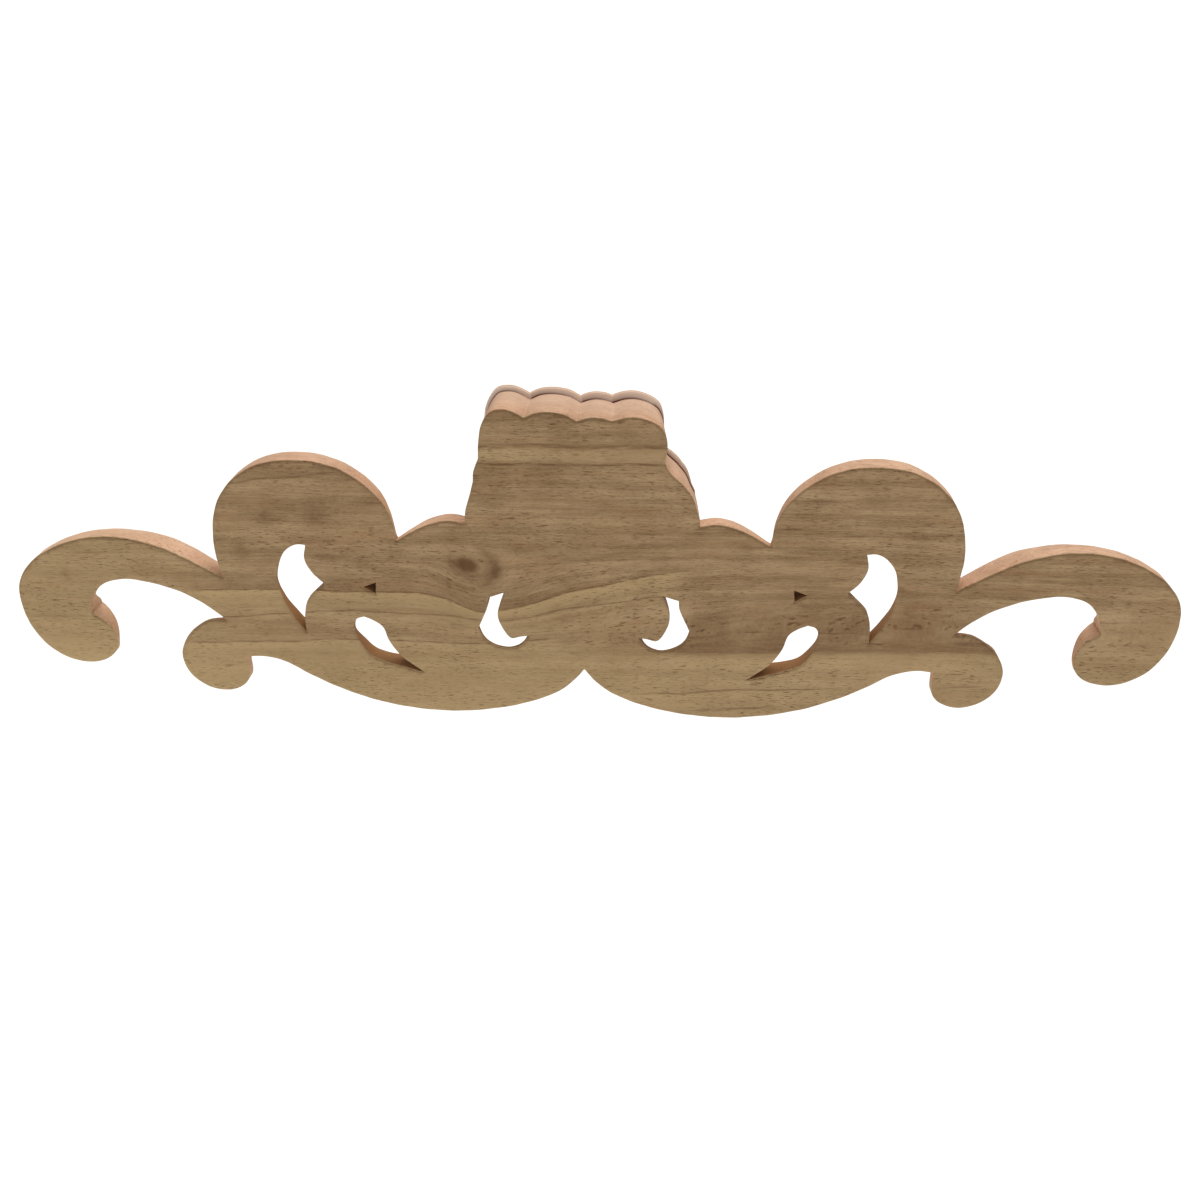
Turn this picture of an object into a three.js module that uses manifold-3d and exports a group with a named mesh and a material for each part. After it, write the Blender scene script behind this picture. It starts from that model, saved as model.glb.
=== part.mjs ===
// A carved wood applique: one board, sawn to a mirrored scroll outline, pierced, and carved on its front.
// Millimetres, +Z up. The flat sawn back lies in the plane Y = 0 and faces +Y, and the carving faces -Y.
// X runs along the length, and the origin is the middle of the back.

import * as THREE from 'three';
import { mergeVertices } from 'three/addons/utils/BufferGeometryUtils.js';
import Module from 'manifold-3d';

// Driving dimensions
const LENGTH = 400;             // from tail to tail
const RIM = 6.3;                // thickness of the board at a plain sawn edge
const LEAST_RIM = 1.2;          // thickness that is left where the edge is cut thinnest
const CROWN = 5.5;              // rise of the carved bands above the rim
const CROWN_REACH = 9;          // distance from an edge over which a band rises
const PARTING_DEPTH = 3.2;      // depth of the valleys that part one leaf from the next
const PARTING_REACH = 5.5;      // half width of those valleys
const VEIN_DEPTH = 1.6;         // depth of the vein along the middle of each leaf
const VEIN_REACH = 3.6;         // half width of a vein
const EYE_RISE = 2.4;           // rise of the round eye in the middle of each volute
const SHELL_WALL = 18.5;        // depth of the shell's sawn wall, from the back to the undercut
const SIDE_DRAFT = 2;           // how far the shell's -X side is drawn in by the time it reaches the lip
const UNDERCUT_GAP = 0.8;       // width of the undercut below the lip, along the depth
const UNDERCUT_DEPTH = 1.2;     // how far the undercut goes in behind the wall
const LIP_OVERHANG = 0.5;       // how far the shell's carved lip stands out over its wall all round
const LIP_SHIFT = [0.4, 1.4];   // how far the lip is moved on the wall at the axis, along X and up
const LIP_TILT = -0.016;        // how much further up it is moved for each millimetre along X
const LIP_FACE = 2;             // depth of the lip's outer face, in front of the undercut
const SHELL_CROWN = 1.6;        // rise of the shell inside its lip
const RIB_RISE = 0.15;          // rise of a rib, as a share of its width
const FLUTE_SHARE = 0.4;        // share of a rib's height that its flutes lie below the shell
const SHELL_HUB = 10.5;         // thickness of the shell at the hub that its flutes run to
const SHELL_LEAN = 64;          // distance from the hub at which the shell has its full thickness
const SHELL_STEP = 5;           // width of the slope from the shell down to the leaves beside it

// Fineness of the faceted surfaces
const EDGE_STEP = 3.3;          // length of a facet along the outline
const RELIEF_STEP = 3.3;        // mean spacing of the relief's grid
const RELIEF_SPREAD = 0.85;     // spacing at the shell, as a share of the mean
const SPIRAL_STEPS = 24;        // facets of a volute's spiral

const LIP_BACK = SHELL_WALL + UNDERCUT_GAP;
const SPARE = 2 * RELIEF_STEP;  // how far the relief runs on past an edge that it is cut to

// The outline is drawn at a length of 400 and keeps its proportions at any other length.
const DRAWN_LENGTH = 400;
const SCALE = LENGTH / DRAWN_LENGTH;

// Each stretch of the half outline runs from one corner to the next, as [distance from the axis, height].
const LEAFLET = [[39.2, 14.6], [45, 15.1], [52, 13.2], [58, 10.3], [62.8, 7.8]];
const SCROLL = [
  [62.8, 7.8], [64.2, 17], [68, 24], [76, 30.7], [86.4, 35.1], [95, 36.3],
  [105, 35.2], [115.3, 30.1], [122, 22], [125.3, 13.5], [126.3, 4], [125.3, -7.3],
];
const TAIL = [
  [125.3, -7.3], [137.5, 0], [146, 4.1], [156, 6.8], [165, 7.5], [175, 6.1], [185, 2.3],
  [193.5, -3.5], [198.8, -11], [200, -19.5], [198.3, -28.9], [193.2, -37.2], [186.5, -41.6],
  [180, -42.8], [173.5, -41.4], [169.4, -37.6], [168.6, -32], [170.6, -26.4], [175.2, -22.5],
];
const UNDER_TAIL = [
  [175.2, -22.5], [172.7, -15.3], [168, -10.6], [160, -8.8], [150, -10.3], [140, -13.9],
  [132.5, -18.7], [126.4, -24.3],
];
const FOOT = [
  [126.4, -24.3], [131.5, -24], [137.5, -27.1], [142.3, -32], [145, -38.5], [144, -45.4],
  [138.5, -51.4], [131, -53.4], [125.2, -51.7], [121.9, -47.8], [121.5, -39.2],
];
const BELLY = [
  [121.5, -39.2], [115, -38.8], [107.5, -40.7], [100, -45.3], [90, -50.7], [77, -55.8],
  [63, -58.9], [49, -60], [35, -58.9], [22, -56], [13.4, -52.7], [7.4, -49.2], [3, -45],
  [0, -41.2],
];

// The shell's edge isn't mirrored. Its stretches run from +X to -X, as [X, height].
const SHELL_EDGE = [
  [[39.2, 14.6], [38.4, 20], [36.6, 25.6], [35.6, 29.5]],
  [[35.6, 29.5], [35.3, 32.5], [33.4, 37.5]],
  [[33.4, 37.5], [33, 42], [32, 48.3], [28.5, 53.6], [25, 54.4], [21.5, 53.6], [17.8, 51.7]],
  [[17.8, 51.7], [14, 53.2], [9.5, 53.6], [5, 52.8], [1, 50.7]],
  [[1, 50.7], [-1.8, 51.6], [-4.6, 51.9], [-7.5, 51.6], [-10.3, 50.8]],
  [[-10.3, 50.8], [-14, 51.9], [-18, 52.1], [-22.5, 51], [-26.4, 48.3], [-28, 44], [-27.3, 36.8]],
  [[-27.3, 36.8], [-29.5, 33], [-33.4, 29.3], [-36.4, 25.2], [-38.2, 20], [-39.2, 14.6]],
];

// Piercings, each a ring of stretches between corners, mirrored to the other side.
const SCROLL_PIERCING = [
  [
    [94.5, 5.5], [97.6, 5.6], [101.2, 3.8], [104.4, -0.6], [105.9, -7], [104.9, -14.8],
    [102, -22.2], [98.3, -28.1],
  ],
  [[98.3, -28.1], [98, -21.5], [95.7, -14.8], [89.6, -9]],
  [[89.6, -9], [93.6, -4.6], [95.4, 0.4], [94.5, 5.5]],
];
const BELLY_PIERCING = [
  [[57, -44], [63.5, -42], [70, -40], [75.8, -37.2], [79.4, -32], [80.9, -25.5], [79.8, -22.8], [77, -21.8]],
  [[77, -21.8], [73.4, -23.4], [70.8, -25.6], [69, -31], [65.8, -36.6], [61, -41], [57, -44]],
];
const CRESCENT_PIERCING = [
  [[27.1, -11.3], [32.7, -13.2]],
  [[32.7, -13.2], [33, -16.2], [34.6, -20.4], [36.8, -25.4]],
  [[36.8, -25.4], [35.2, -28.9], [31.5, -31.8], [27, -33], [22.6, -32], [19, -28]],
  [[19, -28], [22.3, -28.5], [25.3, -29.1], [27.6, -26.7], [29.8, -19.6], [27.1, -11.3]],
];
const EYELET_PIERCING = [
  [[75.8, -10], [71.4, -8.2]],
  [[71.4, -8.2], [71.9, -12.5]],
  [[71.9, -12.5], [75.8, -10]],
];
const PIERCINGS = [SCROLL_PIERCING, BELLY_PIERCING, CRESCENT_PIERCING, EYELET_PIERCING];

// Valleys of the carved front, which part the leaves where the piercings and notches leave off.
const PARTINGS = [
  [[62.8, 7.8], [66, 0], [71.4, -8.2]],
  [[75.8, -10], [82, -10.5], [89.6, -9]],
  [[71.9, -12.5], [74, -17], [77, -21.8]],
  [[125.3, -7.3], [119, -17], [109, -25], [98.3, -28.1]],
  [[126.4, -24.3], [114, -30.5], [100, -34], [88, -36], [76, -37.2]],
  [[57, -44], [47, -43], [39, -37], [34, -31]],
  [[19, -28], [10, -34.5], [0, -41.2]],
];
const VEINS = [
  [[16, -47], [40, -51], [66, -50.5], [92, -42], [114, -33.5], [128, -29]],
  [[106, -30], [124, -17], [140, -6.5], [158, -0.5], [176, -2], [188, -12], [191, -24]],
  [[110, -22], [116.5, -8], [116, 8], [108, 21], [94, 26], [80, 21], [74, 9], [78, -3], [85, -7.5]],
  [[44, -30], [52, -18], [53, -5], [47, 8]],
  [[62, -36], [63, -26], [66, -16]],
];
// Volutes: the middle of each curl, the radius where its spiral starts, and the angle it starts at.
const VOLUTES = [
  { middle: [132.8, -40], radius: 8.6, start: Math.PI / 2 },
  { middle: [182, -29.5], radius: 9.6, start: 0 },
];
const VOLUTE_TURNS = 1.1;
const VOLUTE_SHRINK = 0.45;     // the spiral's last radius, as a share of its first
const EYE_SHARE = 0.4;          // radius of the eye, as a share of the spiral's first radius

// The part of the front that belongs to the shell: its edge above, and its run down to the notch.
const SHELL_SIDE = [
  [39.2, 14.6], [37.5, 4], [33, -6], [28.6, -13], [29.5, -20], [25, -28], [12, -33.5], [0, -38],
];
const HUB = [0, -26];
const FLUTES = [
  [-28.6, -13], [-39.2, 14.6], [-27.3, 36.8], [-10.3, 50.8], [1, 50.7],
  [17.8, 51.7], [33.4, 37.5], [39.2, 14.6], [28.6, -13],
];
const SHELL_HALF = 33;          // distance from the axis at which the -X side has its full draft
const SHELL_REACH = 39.6;       // distance from the axis that the shell keeps within
const SHELL_FOOT = 14.6;        // height of the shell's free edge where it meets the leaves
const FOOT_SLOPE = 8;           // height over which the draft and the lip begin there

// Places where the rim is thicker or thinner than a plain edge: middle, reach and change of thickness.
const RIM_CHANGES = [
  { at: [142, 2], reach: 20, change: 2.8 },
  { at: [65, 13], reach: 8, change: -4.5 },
  { at: [84, 33], reach: 22, change: 2.3 },
  { at: [104, -7], reach: 12, change: -5 },
  { at: [92, -14], reach: 6, change: -3 },
  { at: [29, -29], reach: 13, change: -6 },
  { at: [172, -14], reach: 5.5, change: -5 },
  { at: [176, -23], reach: 5, change: 3 },
  { at: [168, -35], reach: 7, change: -4 },
  { at: [134, -26], reach: 11, change: -6 },
  { at: [121.5, -45], reach: 7, change: -1.8 },
  { at: [81, -26], reach: 6, change: -4 },
  { at: [62, -43], reach: 8, change: 2.5 },
  { at: [73, -10], reach: 6, change: 3 },
];

// A smooth curve through the given points, cut into even facets.
function curve(points, step = EDGE_STEP) {
  const stations = points.map(([x, z]) => new THREE.Vector3(x, z, 0));
  const line = new THREE.CatmullRomCurve3(stations, false, 'centripetal');
  const facets = Math.max(1, Math.ceil(line.getLength() / step));
  return line.getSpacedPoints(facets).map((p) => [p.x, p.y]);
}

// Stretches joined end to end, with each shared corner kept once and the last point left for what follows.
function joined(stretches) {
  return stretches.flatMap((points) => curve(points).slice(0, -1));
}

const mirrored = (points) => points.map(([x, z]) => [-x, z]);

function outlineLoop() {
  const half = joined([LEAFLET, SCROLL, TAIL, UNDER_TAIL, FOOT, BELLY]);
  const notch = BELLY[BELLY.length - 1];
  const otherHalf = mirrored(half).reverse();
  const shell = joined([...SHELL_EDGE].reverse().map((stretch) => [...stretch].reverse()));
  return [...half, notch, ...otherHalf.slice(0, -1), ...shell].reverse();
}

function piercingLoops() {
  const oneSide = PIERCINGS.map(joined);
  return [...oneSide, ...oneSide.map(mirrored)];
}

// Shortest distance from a point to a chain of straight facets.
function distanceTo(chain, x, z, closed = false) {
  let nearest = Infinity;
  const last = closed ? chain.length : chain.length - 1;
  for (let i = 0; i < last; i += 1) {
    const [ax, az] = chain[i];
    const [bx, bz] = chain[(i + 1) % chain.length];
    const along = ((x - ax) * (bx - ax) + (z - az) * (bz - az)) / ((bx - ax) ** 2 + (bz - az) ** 2);
    const t = THREE.MathUtils.clamp(along, 0, 1);
    nearest = Math.min(nearest, Math.hypot(x - ax - t * (bx - ax), z - az - t * (bz - az)));
  }
  return nearest;
}

function inside(loop, x, z) {
  let odd = false;
  for (let i = 0; i < loop.length; i += 1) {
    const [ax, az] = loop[i];
    const [bx, bz] = loop[(i + 1) % loop.length];
    if ((az > z) !== (bz > z) && x < ax + ((z - az) / (bz - az)) * (bx - ax)) odd = !odd;
  }
  return odd;
}

const rise = (share) => THREE.MathUtils.smoothstep(share, 0, 1);

function spiral({ middle, radius, start }) {
  const points = [];
  for (let i = 0; i <= SPIRAL_STEPS; i += 1) {
    const share = i / SPIRAL_STEPS;
    const r = radius * (1 - (1 - VOLUTE_SHRINK) * share);
    const angle = start - share * VOLUTE_TURNS * 2 * Math.PI;
    points.push([middle[0] + r * Math.cos(angle), middle[1] + r * Math.sin(angle)]);
  }
  return points;
}

// How far up its foot the shell's free edge is, from 0 where it meets the leaves to 1 above the slope.
function aboveFoot(z) {
  return THREE.MathUtils.clamp((z - SHELL_FOOT) / FOOT_SLOPE, 0, 1);
}

const outBy = (distance) => (normal) => normal.map((part) => part * distance);

// The lip stands out evenly, is moved up and aside, and runs out where the shell meets the leaves.
function lipStep(normal, x, z) {
  const share = aboveFoot(z) / SCALE;
  return [
    (normal[0] * LIP_OVERHANG + LIP_SHIFT[0]) * share,
    (normal[1] * LIP_OVERHANG + LIP_SHIFT[1] + LIP_TILT * x) * share,
  ];
}

// The shell's plan with its free edge moved by a step that follows from its outward normal and its place.
function shellPlan(stepAt) {
  const edge = SHELL_LINE.map(([x, z], i) => {
    const before = SHELL_LINE[Math.max(i - 1, 0)];
    const after = SHELL_LINE[Math.min(i + 1, SHELL_LINE.length - 1)];
    const length = Math.hypot(after[0] - before[0], after[1] - before[1]);
    const normal = [(before[1] - after[1]) / length, (after[0] - before[0]) / length];
    const step = stepAt(normal, x, z);
    return [x + step[0], z + step[1]];
  });
  return [...edge, ...SIDE_LINE.slice(1), ...mirrored(SIDE_LINE).reverse().slice(1, -1)];
}

const OUTLINE = outlineLoop();
const HOLES = piercingLoops();
const PARTING_LINES = PARTINGS.map((points) => curve(points));
const VEIN_LINES = [...VEINS.map((points) => curve(points)), ...VOLUTES.map(spiral)];
const SHELL_LINE = joined([...SHELL_EDGE].reverse().map((stretch) => [...stretch].reverse()));
const SIDE_LINE = curve(SHELL_SIDE);
const SHELL_AND_SPARE = shellPlan(outBy(SPARE));

// Thickness of the sawn edge: a plain rim with a swell or a dip round each place where it changes.
function rimThickness(s, z) {
  const rim = RIM_CHANGES.reduce((sum, { at, reach, change }) => {
    const away = Math.hypot(s - at[0], z - at[1]) / reach;
    return sum + change * Math.exp(-away * away);
  }, RIM);
  return Math.max(rim, LEAST_RIM);
}

// Thickness of the leaves and bands: a rim that swells to a crown, parted by valleys and cut by veins.
function leafThickness(x, z) {
  const s = Math.abs(x);
  const edges = [OUTLINE, ...HOLES].map((loop) => distanceTo(loop, x, z, true));
  const parting = Math.min(...PARTING_LINES.map((line) => distanceTo(line, s, z)));
  const vein = Math.min(...VEIN_LINES.map((line) => distanceTo(line, s, z)));
  const crowned = rise(Math.min(...edges) / CROWN_REACH);
  let thickness = rimThickness(s, z) + CROWN * crowned;
  thickness -= PARTING_DEPTH * crowned * (1 - rise(parting / PARTING_REACH));
  thickness -= VEIN_DEPTH * crowned * (1 - rise(vein / VEIN_REACH));
  for (const { middle, radius } of VOLUTES) {
    const eye = Math.hypot(s - middle[0], z - middle[1]) / (radius * EYE_SHARE);
    thickness += EYE_RISE * Math.sqrt(Math.max(0, 1 - eye * eye));
  }
  return thickness;
}

// How far across the rib between two flutes a direction lies, and how wide that rib is.
function ribAcross(angle) {
  const flutes = FLUTES.map(([x, z]) => Math.atan2(z - HUB[1], x - HUB[0])).reverse();
  let next = 1;
  while (next < flutes.length - 1 && angle > flutes[next]) next += 1;
  const width = flutes[next] - flutes[next - 1];
  return { across: THREE.MathUtils.clamp((angle - flutes[next - 1]) / width, 0, 1), width };
}

// Thickness of the shell: it leans forward from its hub to its lip, and its ribs meet in sharp flutes.
function shellThickness(x, z) {
  const radius = Math.hypot(x - HUB[0], z - HUB[1]);
  const { across, width } = ribAcross(Math.atan2(z - HUB[1], x - HUB[0]));
  const lip = LIP_BACK + LIP_FACE;
  const lean = rise(radius / SHELL_LEAN);
  const edge = rise(distanceTo(SHELL_LINE, x, z) / CROWN_REACH);
  const rib = Math.sin(Math.PI * across) - FLUTE_SHARE;
  const bulge = RIB_RISE * width * radius * rib;
  return SHELL_HUB + (lip - SHELL_HUB) * lean + (SHELL_CROWN + bulge) * edge;
}

function frontThickness(x, z) {
  const leaf = leafThickness(x, z);
  if (!inside(SHELL_AND_SPARE, x, z)) return leaf;
  const side = Math.min(distanceTo(SIDE_LINE, x, z), distanceTo(mirrored(SIDE_LINE), x, z));
  return leaf + (shellThickness(x, z) - leaf) * rise(side / SHELL_STEP);
}

// A closed solid of a three.js geometry, with its shared corners merged.
const wasm = await Module();
wasm.setup();
function solid(geometry) {
  const bare = geometry.clone();
  bare.deleteAttribute('normal');
  bare.deleteAttribute('uv');
  const merged = mergeVertices(bare, 1e-4);
  return new wasm.Manifold(new wasm.Mesh({
    numProp: 3,
    vertProperties: new Float32Array(merged.attributes.position.array),
    triVerts: new Uint32Array(merged.index.array),
  }));
}

// The shell's free edge is drawn in along X on its -X side, in proportion to the depth.
function drawIn(geometry) {
  const position = geometry.attributes.position;
  for (let i = 0; i < position.count; i += 1) {
    const x = position.getX(i) / SCALE;
    if (Math.abs(x) > SHELL_REACH) continue;
    const share = THREE.MathUtils.clamp(-x / SHELL_HALF, 0, 1) * aboveFoot(position.getZ(i) / SCALE);
    const depth = -position.getY(i) / LIP_BACK;
    position.setX(i, position.getX(i) + SIDE_DRAFT * depth * share);
  }
}

// A plan of loops, carried forward from one depth behind the front to another.
function slab(loop, holes, from, to) {
  const scaled = (points) => points.map(([x, z]) => new THREE.Vector2(x * SCALE, z * SCALE));
  const shape = new THREE.Shape(scaled(loop));
  shape.holes = holes.map((hole) => new THREE.Path(scaled(hole)));
  const geometry = new THREE.ExtrudeGeometry(shape, { depth: to - from, bevelEnabled: false });
  geometry.rotateX(Math.PI / 2);
  geometry.translate(0, -from, 0);
  drawIn(geometry);
  return solid(geometry);
}

// A block whose front is the carved relief and whose back lies behind the board.
function reliefBlock() {
  const xs = OUTLINE.map(([x]) => x);
  const zs = OUTLINE.map(([, z]) => z);
  const width = Math.max(...xs) - Math.min(...xs) + 2 * SPARE;
  const height = Math.max(...zs) - Math.min(...zs) + 2 * SPARE;
  const columns = 2 * Math.ceil(width / RELIEF_STEP / 2);
  const rows = Math.ceil(height / RELIEF_STEP);
  const block = new THREE.BoxGeometry(width, height, 1, columns, rows, 1);
  block.translate(0, (Math.max(...zs) + Math.min(...zs)) / 2, 0);
  block.rotateX(Math.PI / 2);
  const position = block.attributes.position;
  for (let i = 0; i < position.count; i += 1) {
    const share = position.getX(i) / (width / 2);
    const x = (RELIEF_SPREAD * share + (1 - RELIEF_SPREAD) * share ** 3) * (width / 2);
    const z = position.getZ(i);
    const y = position.getY(i) < 0 ? -frontThickness(x, z) : SPARE;
    position.setXYZ(i, x * SCALE, y, z * SCALE);
  }
  return solid(block);
}

function appliqueSolid() {
  const farInFront = 2 * (LIP_BACK + LIP_FACE + SHELL_CROWN);
  const board = slab(OUTLINE, HOLES, 0, SHELL_WALL);
  const neckPlan = shellPlan(outBy(-UNDERCUT_DEPTH / SCALE));
  const neck = slab(neckPlan, [], SHELL_WALL / 2, LIP_BACK + LIP_FACE / 2);
  const lip = slab(shellPlan(lipStep), [], LIP_BACK, farInFront);
  return board.add(neck).add(lip).intersect(reliefBlock());
}

function geometryOf(manifold) {
  const mesh = manifold.getMesh();
  const geometry = new THREE.BufferGeometry();
  geometry.setAttribute('position', new THREE.BufferAttribute(new Float32Array(mesh.vertProperties), 3));
  geometry.setIndex(new THREE.BufferAttribute(new Uint32Array(mesh.triVerts), 1));
  geometry.computeVertexNormals();
  return geometry;
}

const rubberwood = new THREE.MeshStandardMaterial({ color: 0x937a5c, roughness: 0.72, metalness: 0 });
const applique = new THREE.Mesh(geometryOf(appliqueSolid()), rubberwood);
applique.name = 'carved_applique';

const group = new THREE.Group();
group.add(applique);
export default group;
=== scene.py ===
"""A carved wood applique: one board of rubberwood, sawn to a mirrored scroll outline, pierced and carved.

The flat sawn back lies in the plane Y = 0 and faces +Y, and the carving faces -Y. X runs along the length
and Z is up. Outlines are drawn in millimetres at a length of 400, as [distance from the axis, height], and
carried to metres.
"""

import math

import bpy
import numpy as np
from mathutils import Matrix, Vector
from mathutils.geometry import delaunay_2d_cdt


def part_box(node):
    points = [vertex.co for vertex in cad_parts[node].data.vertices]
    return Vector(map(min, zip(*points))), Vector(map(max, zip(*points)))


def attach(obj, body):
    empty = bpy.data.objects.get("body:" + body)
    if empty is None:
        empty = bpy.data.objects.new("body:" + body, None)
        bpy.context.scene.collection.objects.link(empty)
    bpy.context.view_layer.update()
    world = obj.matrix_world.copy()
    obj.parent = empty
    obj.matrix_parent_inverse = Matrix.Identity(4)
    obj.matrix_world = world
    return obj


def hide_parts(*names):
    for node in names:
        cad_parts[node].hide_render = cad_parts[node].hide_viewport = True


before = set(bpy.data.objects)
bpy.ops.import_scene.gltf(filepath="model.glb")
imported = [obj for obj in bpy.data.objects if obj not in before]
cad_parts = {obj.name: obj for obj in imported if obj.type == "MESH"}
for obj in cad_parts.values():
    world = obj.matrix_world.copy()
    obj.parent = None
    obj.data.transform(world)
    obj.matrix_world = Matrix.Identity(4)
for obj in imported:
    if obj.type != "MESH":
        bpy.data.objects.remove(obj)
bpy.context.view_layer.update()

# Size of the board, from the frame, with a drawn millimetre and a true one in metres
NODE = "carved_applique"
LOW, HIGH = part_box(NODE)
DRAWN_LENGTH = 400.0
MM = (HIGH[0] - LOW[0]) / DRAWN_LENGTH
MILLIMETRE = 0.001
PER_METRE = 1000.0

# Thicknesses and carving: lengths in millimetres, with shares and slopes beside them
RIM = 6.3
LEAST_RIM = 1.2
CROWN = 5.5
CROWN_REACH = 9.0
PARTING_DEPTH = 3.2
PARTING_REACH = 5.5
VEIN_DEPTH = 1.6
VEIN_REACH = 3.6
EYE_RISE = 2.4
SHELL_WALL = 18.5
UNDERCUT_GAP = 0.8
UNDERCUT_DEPTH = 1.2
LIP_OVERHANG = 0.5
LIP_SHIFT = (0.4, 1.4)
LIP_TILT = -0.016
LIP_FACE = 2.0
SIDE_DRAFT = 2.0
SHELL_FOOT = 14.6
FOOT_SLOPE = 8.0
SHELL_HALF = 33.0
SHELL_REACH = 39.6
LIP_BACK = SHELL_WALL + UNDERCUT_GAP
SHELL_CROWN = 1.6
RIB_RISE = 0.15
FLUTE_SHARE = 0.4
SHELL_HUB = 10.5
SHELL_LEAN = 64.0
SHELL_STEP = 5.0
LIP_RISE = 1.2

# Finer carving, which only the dressed board has: lengths in millimetres, with shares and slopes beside them
SIDE_VEIN_DEPTH = 0.55
SIDE_VEIN_PITCH = 7.5
SIDE_VEIN_SLANT = 1.1
SIDE_VEIN_WIDTH = 0.34
# How far from the middle vein, the sawn edge and the volutes side veins start, and over how much they deepen
SIDE_VEIN_FROM_VEIN = (1.0, 2.5)
SIDE_VEIN_FROM_EDGE = (1.2, 3.0)
SIDE_VEIN_FROM_CURL = (2.0, 3.0)
BEAD_RISE = 0.7
BEAD_REACH = 3.2
RIB_LINE_DEPTH = 0.35
RIB_LINE_WIDTH = 1.1
# How far from the hub the lines along the ribs start, and over how much they deepen
RIB_LINE_START = (22.0, 12.0)
# Rounded edges, with the share of their reach at which the middle ring of points lies
ARRIS = 0.3
ARRIS_MIDDLE = 0.3
SAW_WOBBLE = 0.08
# Waves of the sawn edge: share of the wobble, turns along X and Z in radians per millimetre, and shift
SAW_WAVES = [(1.0, 0.61, 0.47, 0.0), (0.7, 0.33, -0.71, 1.7), (0.4, 1.3, 1.1, 0.0)]

# Fineness of the meshes: steps in millimetres, a share of a step, counts, and an angle in degrees
EDGE_STEP = 0.8
FRONT_STEP = 0.78
BACK_STEP = 1.7
GUIDE_STEP = 0.5
MEASURE_STEP = 0.4
TOUCH = 0.1
LEAST_GAP = 0.6
SPAN_PARTS = 32
SPIRAL_POINTS = 160
SHARP_ANGLE = 42
# Points that are measured at once, which keeps the arrays small
NEAREST_BLOCK = 4096
INSIDE_BLOCK = 2048

# The half outline, from one corner to the next
LEAFLET = [[39.2, 14.6], [45, 15.5], [52, 13.8], [58, 10.8], [62.8, 7.8]]
SCROLL = [
    [62.8, 7.8], [64.2, 17], [67.9, 23.7], [73.2, 29.1], [79.6, 33.3], [88.3, 35.9], [97.4, 36.2],
    [105, 35.2], [112.6, 31.8], [118.4, 27], [122.9, 20.4], [125.4, 12.5], [126.3, 4], [125.3, -7.3],
]
TAIL = [
    [125.3, -7.3], [137.5, 0], [146, 4.1], [156, 6.8], [165, 7.5], [175, 6.1], [185, 2.3],
    [193.5, -3.5], [198.8, -11], [200, -19.5], [198.3, -28.9], [193.2, -37.2], [186.5, -41.6],
    [180, -42.8], [173.5, -41.4], [169.2, -37.6], [168, -32], [170.3, -26.2], [175.2, -22.5],
]
UNDER_TAIL = [
    [175.2, -22.5], [172.7, -15.3], [168, -10.6], [160, -8.8], [150, -10.3], [140, -13.9],
    [132.5, -18.7], [126.4, -24.3],
]
FOOT = [
    [126.4, -24.3], [131.5, -24], [137.5, -27.1], [142.3, -32], [145, -38.5], [144, -45.4],
    [138.5, -51.4], [131, -53.4], [125.2, -51.7], [121.9, -47.8], [121.5, -39.2],
]
BELLY = [
    [121.5, -39.2], [115, -38.8], [107.5, -40.7], [100, -45.3], [90, -50.7], [77, -55.8],
    [63, -58.9], [49, -60], [35, -58.9], [22, -56], [13.4, -52.7], [7.4, -49.2], [3, -45],
    [0, -41.2],
]

# The shell's edge isn't mirrored. Its stretches run from +X to -X.
SHELL_EDGE = [
    [[39.2, 14.6], [38.4, 20], [36.6, 25.6], [35.6, 29.5]],
    [[35.6, 29.5], [35.3, 32.5], [33.4, 37.5]],
    [[33.4, 37.5], [33, 42], [32, 48.3], [28.5, 53.6], [25, 54.4], [21.5, 53.6], [17.8, 51.7]],
    [[17.8, 51.7], [14, 53.2], [9.5, 53.6], [5, 52.8], [1, 50.7]],
    [[1, 50.7], [-1.8, 51.6], [-4.6, 51.9], [-7.5, 51.6], [-10.3, 50.8]],
    [[-10.3, 50.8], [-14, 51.9], [-18, 52.1], [-22.5, 51], [-26.4, 48.3], [-28, 44], [-27.3, 36.8]],
    [[-27.3, 36.8], [-29.5, 33], [-33.4, 29.3], [-36.4, 25.2], [-38.2, 20], [-39.2, 14.6]],
]

# Piercings, each a ring of stretches between corners, mirrored to the other side
SCROLL_PIERCING = [
    [
        [94.5, 5.5], [97.6, 5.6], [101.2, 3.8], [104.4, -0.6], [105.9, -7], [104.9, -14.8],
        [102, -22.2], [98.3, -28.1],
    ],
    [[98.3, -28.1], [98, -21.5], [95.7, -14.8], [89.6, -9]],
    [[89.6, -9], [93.6, -4.6], [95.4, 0.4], [94.5, 5.5]],
]
BELLY_PIERCING = [
    [
        [57, -44], [63.5, -42], [70, -40], [75.8, -37.2], [79.4, -32], [80.9, -25.5],
        [79.8, -22.8], [77, -21.8],
    ],
    [[77, -21.8], [73.4, -23.4], [70.8, -25.6], [69, -31], [65.8, -36.6], [61, -41], [57, -44]],
]
CRESCENT_PIERCING = [
    [[27.1, -11.3], [32.7, -13.2]],
    [[32.7, -13.2], [33, -16.2], [34.6, -20.4], [36.8, -25.4]],
    [[36.8, -25.4], [35.2, -28.9], [31.5, -31.8], [27, -33], [22.6, -32], [19, -28]],
    [[19, -28], [22.3, -28.5], [25.3, -29.1], [27.6, -26.7], [29.8, -19.6], [27.1, -11.3]],
]
EYELET_PIERCING = [
    [[75.8, -10], [71.4, -8.2]],
    [[71.4, -8.2], [71.9, -12.5]],
    [[71.9, -12.5], [75.8, -10]],
]
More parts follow.
